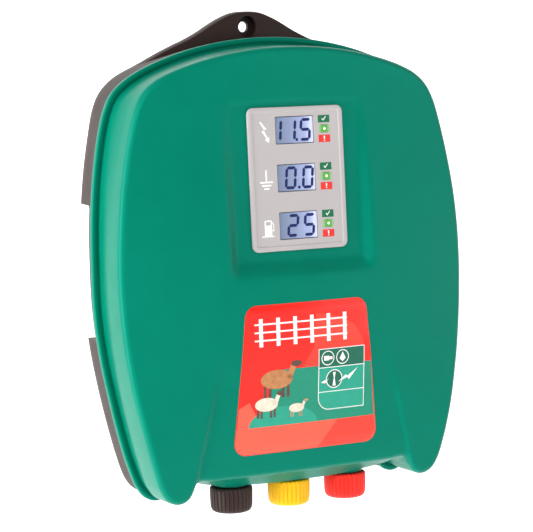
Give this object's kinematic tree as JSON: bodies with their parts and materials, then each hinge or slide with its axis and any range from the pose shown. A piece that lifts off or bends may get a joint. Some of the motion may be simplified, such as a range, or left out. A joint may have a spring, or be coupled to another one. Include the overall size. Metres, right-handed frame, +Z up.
{
  "type": "electric fence energizer",
  "caption": "Wall-hung fence energizer: green two-lobed cover, dark rear housing with hanging tab, leaning display panel and screw terminals below.",
  "frame": {"origin": "centre of the hanging hole, on the plane of the wall behind the unit", "axes": "+X to the right seen from the front, +Y into the wall, +Z up; the front faces -Y"},
  "size_m": [0.248, 0.0796, 0.3108],
  "materials": {
    "cover_green": "moulded, soft gloss",
    "housing_dark": "moulded, fine grain",
    "rubber_black": "matt",
    "steel": "zinc plated",
    "panel_grey": "moulded",
    "lcd_glass": "clear",
    "white_plastic": "satin",
    "lens_green": "translucent",
    "circuit_board": "lacquered",
    "label_print": "printed film",
    "brass": "turned",
    "knob_dark": "ribbed",
    "knob_yellow": "ribbed",
    "knob_red": "ribbed",
    "copper": "bare or enamelled",
    "gland_black": "satin",
    "iron_core": "stacked sheet",
    "capacitor_sleeve": "sleeved",
    "aluminium": "mill",
    "moulded_black": "moulded",
    "fuse_glass": "clear",
    "wire_red": "insulated"
  },
  "bodies": {
    "casing": {"backlight_lower": "white_plastic", "backlight_middle": "white_plastic", "backlight_upper": "white_plastic", "board_screw_1": "steel", "board_screw_2": "steel", "board_screw_3": "steel", "board_screw_4": "steel", "case_screw_1": "steel", "case_screw_2": "steel", "case_screw_3": "steel", "case_screw_4": "steel", "display_board": "circuit_board", "display_panel": "panel_grey", "display_ribbon": "white_plastic", "front_cover": "cover_green", "front_label": "label_print", "fuse": "fuse_glass", "fuse_holder": "moulded_black", "gland_body": "gland_black", "gland_locknut": "gland_black", "gland_nut": "gland_black", "heat_sink": "aluminium", "housing_seal": "rubber_black", "lcd_glass_lower": "lcd_glass", "lcd_glass_middle": "lcd_glass", "lcd_glass_upper": "lcd_glass", "lead_earth": "wire_red", "lead_fence": "wire_red", "lead_reduced": "wire_red", "lead_tag_earth": "copper", "lead_tag_fence": "copper", "lead_tag_reduced": "copper", "main_board": "circuit_board", "output_transformer_core": "iron_core", "output_transformer_winding": "copper", "rear_housing": "housing_dark", "status_lens_lower": "lens_green", "status_lens_middle": "lens_green", "status_lens_upper": "lens_green", "storage_capacitor_1": "capacitor_sleeve", "storage_capacitor_2": "capacitor_sleeve", "storage_capacitor_3": "capacitor_sleeve", "stud_earth": "steel", "stud_fence": "steel", "stud_nut_earth": "steel", "stud_nut_fence": "steel", "stud_nut_reduced": "steel", "stud_reduced": "steel", "supply_transformer_core": "iron_core", "supply_transformer_winding": "copper", "thyristor": "moulded_black"},
    "washer_earth": {"clamp_washer_earth": "steel"},
    "screw_knob_earth": {"knob_earth": "knob_dark", "knob_insert_earth": "brass"},
    "washer_reduced": {"clamp_washer_reduced": "steel"},
    "screw_knob_reduced": {"knob_reduced": "knob_yellow", "knob_insert_reduced": "brass"},
    "washer_fence": {"clamp_washer_fence": "steel"},
    "screw_knob_fence": {"knob_fence": "knob_red", "knob_insert_fence": "brass"}
  },
  "joints": [
    {"name": "washer_earth_slide", "type": "slide", "parent": "casing", "child": "washer_earth", "axis": [0, 0, -1], "range_m": [0, 0.00375]},
    {"name": "knob_earth_turn", "type": "hinge", "parent": "washer_earth", "child": "screw_knob_earth", "pos_m": [-0.041, -0.049, -0.285], "axis": [0, 0, -1], "range_deg": [0, 1080]},
    {"name": "washer_reduced_slide", "type": "slide", "parent": "casing", "child": "washer_reduced", "axis": [0, 0, -1], "range_m": [0, 0.00375]},
    {"name": "knob_reduced_turn", "type": "hinge", "parent": "washer_reduced", "child": "screw_knob_reduced", "pos_m": [0, -0.049, -0.285], "axis": [0, 0, -1], "range_deg": [0, 1080]},
    {"name": "washer_fence_slide", "type": "slide", "parent": "casing", "child": "washer_fence", "axis": [0, 0, -1], "range_m": [0, 0.00375]},
    {"name": "knob_fence_turn", "type": "hinge", "parent": "washer_fence", "child": "screw_knob_fence", "pos_m": [0.041, -0.049, -0.285], "axis": [0, 0, -1], "range_deg": [0, 1080]}
  ],
  "couplings": [
    {"joint": "washer_earth_slide", "follows": "knob_earth_turn", "m_per_rad": 0.00019894},
    {"joint": "washer_reduced_slide", "follows": "knob_reduced_turn", "m_per_rad": 0.00019894},
    {"joint": "washer_fence_slide", "follows": "knob_fence_turn", "m_per_rad": 0.00019894}
  ]
}
